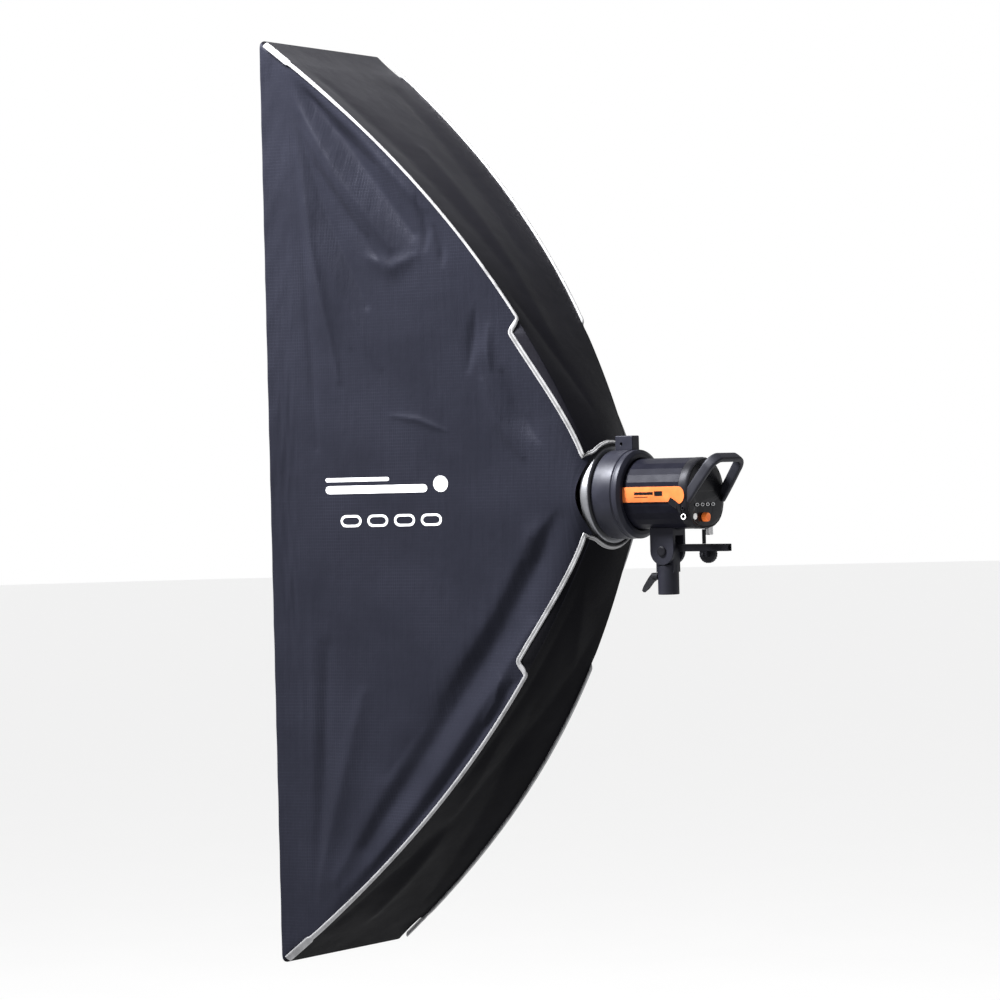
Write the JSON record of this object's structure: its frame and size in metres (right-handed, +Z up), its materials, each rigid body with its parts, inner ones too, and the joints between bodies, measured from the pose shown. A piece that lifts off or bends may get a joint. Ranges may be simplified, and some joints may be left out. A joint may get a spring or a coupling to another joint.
{
  "type": "strip softbox on a flash head",
  "caption": "Tall strip softbox with curved folding rods, recessed diffuser and speed ring, on a cylindrical flash head with tilt bracket and stand socket.",
  "frame": {"origin": "centre of the stand socket's mouth", "axes": "+Z up along the 140 cm side, X across the 30 cm side, light leaves towards -Y"},
  "size_m": [0.3, 0.7311, 1.4],
  "materials": {
    "ripstop": "black coated ripstop",
    "hem": "black woven tape",
    "diffuser": "white translucent cloth",
    "rod": "black glass fibre",
    "aluminium": "satin silver",
    "steel": "bright",
    "collar": "black moulded",
    "shell": "satin blue-grey",
    "housing": "black moulded",
    "panel": "gloss black",
    "orange": "satin orange",
    "white": "satin white",
    "bracket": "glass-filled nylon",
    "knob": "soft moulded",
    "ceramic": "white ceramic",
    "lamp": "frosted glass"
  },
  "bodies": {
    "stand_receiver": {"stand_socket": "bracket", "friction_washer_left": "knob", "friction_washer_right": "knob"},
    "stand_lock": {"stand_lock_lever": "knob"},
    "umbrella_clamp": {"umbrella_clamp_knob": "knob"},
    "softbox": {"speed_ring": "aluminium", "side_panel_right": "ripstop", "side_panel_left": "ripstop", "top_panel": "ripstop", "bottom_panel": "ripstop", "front_lip": "hem", "front_diffuser": "diffuser", "inner_baffle": "diffuser", "rod_pin_upper_right": "steel", "rod_pin_upper_left": "steel", "rod_pin_lower_right": "steel", "rod_pin_lower_left": "steel"},
    "dial": {"power_dial": "orange"},
    "test_key": {"test_button": "white"},
    "rod_upper_right": {"rod_upper_right": "rod", "rod_socket_upper_right": "aluminium", "corner_pocket_upper_right": "hem"},
    "rod_upper_left": {"rod_upper_left": "rod", "rod_socket_upper_left": "aluminium", "corner_pocket_upper_left": "hem"},
    "rod_lower_right": {"rod_lower_right": "rod", "rod_socket_lower_right": "aluminium", "corner_pocket_lower_right": "hem"},
    "rod_lower_left": {"rod_lower_left": "rod", "rod_socket_lower_left": "aluminium", "corner_pocket_lower_left": "hem"},
    "key_1": {"menu_key_1": "bracket"},
    "key_2": {"menu_key_2": "bracket"},
    "key_3": {"menu_key_3": "bracket"},
    "key_4": {"menu_key_4": "bracket"},
    "head": {"brace_strut": "housing", "carry_handle": "bracket", "display_window": "panel", "flash_tube": "lamp", "head_shell": "shell", "lamp_plate": "ceramic", "modelling_lamp": "lamp", "mount_collar": "collar", "orange_stripe_left": "orange", "orange_stripe_right": "orange", "pivot_bolt": "housing", "pivot_nut": "steel", "power_inlet": "steel", "rear_housing": "housing", "rear_panel": "panel", "remote_socket": "white", "side_wedge": "housing", "sync_jack": "steel", "top_lug": "collar", "umbrella_tube": "housing", "yoke": "bracket"}
  },
  "joints": [
    {"name": "tilt", "type": "hinge", "parent": "stand_receiver", "child": "head", "pos_m": [0, 0, 0.063], "axis": [1, 0, 0], "range_deg": [-40, 35]},
    {"name": "softbox_rotation", "type": "hinge", "parent": "head", "child": "softbox", "pos_m": [0, -0.094, 0.146], "axis": [0, -1, 0], "continuous": true},
    {"name": "stand_lock_turn", "type": "hinge", "parent": "stand_receiver", "child": "stand_lock", "pos_m": [0, -0.0155, 0.0265], "axis": [0, -1, 0], "range_deg": [-360, 0]},
    {"name": "umbrella_clamp_turn", "type": "hinge", "parent": "head", "child": "umbrella_clamp", "pos_m": [0, 0.063, 0.0582], "axis": [1, 0, 0], "range_deg": [-360, 0]},
    {"name": "power_dial_turn", "type": "hinge", "parent": "head", "child": "dial", "pos_m": [0.0066, 0.0665, 0.1115], "axis": [0, -1, 0], "continuous": true},
    {"name": "test_button_press", "type": "slide", "parent": "head", "child": "test_key", "axis": [0, -1, 0], "range_m": [0, 0.001], "stiffness_N_per_m": 800, "springref_m": -0.0005},
    {"name": "menu_key_1_press", "type": "slide", "parent": "head", "child": "key_1", "axis": [0, -1, 0], "range_m": [0, 0.001], "stiffness_N_per_m": 800, "springref_m": -0.0005},
    {"name": "menu_key_2_press", "type": "slide", "parent": "head", "child": "key_2", "axis": [0, -1, 0], "range_m": [0, 0.001], "stiffness_N_per_m": 800, "springref_m": -0.0005},
    {"name": "menu_key_3_press", "type": "slide", "parent": "head", "child": "key_3", "axis": [0, -1, 0], "range_m": [0, 0.001], "stiffness_N_per_m": 800, "springref_m": -0.0005},
    {"name": "menu_key_4_press", "type": "slide", "parent": "head", "child": "key_4", "axis": [0, -1, 0], "range_m": [0, 0.001], "stiffness_N_per_m": 800, "springref_m": -0.0005},
    {"name": "fold_upper_right", "type": "hinge", "parent": "softbox", "child": "rod_upper_right", "pos_m": [0.04603, -0.10841, 0.2086], "axis": [1, 0, 0], "range_deg": [0, 45], "deforming": ["side_panel_right", "side_panel_left", "top_panel", "bottom_panel", "front_lip", "front_diffuser", "inner_baffle"]},
    {"name": "fold_upper_left", "type": "hinge", "parent": "softbox", "child": "rod_upper_left", "pos_m": [-0.04603, -0.10841, 0.2086], "axis": [1, 0, 0], "range_deg": [0, 45]},
    {"name": "fold_lower_right", "type": "hinge", "parent": "softbox", "child": "rod_lower_right", "pos_m": [0.04603, -0.10841, 0.0834], "axis": [-1, 0, 0], "range_deg": [0, 45]},
    {"name": "fold_lower_left", "type": "hinge", "parent": "softbox", "child": "rod_lower_left", "pos_m": [-0.04603, -0.10841, 0.0834], "axis": [-1, 0, 0], "range_deg": [0, 45]}
  ],
  "couplings": [
    {"joint": "fold_upper_left", "follows": "fold_upper_right", "ratio": 1},
    {"joint": "fold_lower_right", "follows": "fold_upper_right", "ratio": 1},
    {"joint": "fold_lower_left", "follows": "fold_upper_right", "ratio": 1}
  ]
}
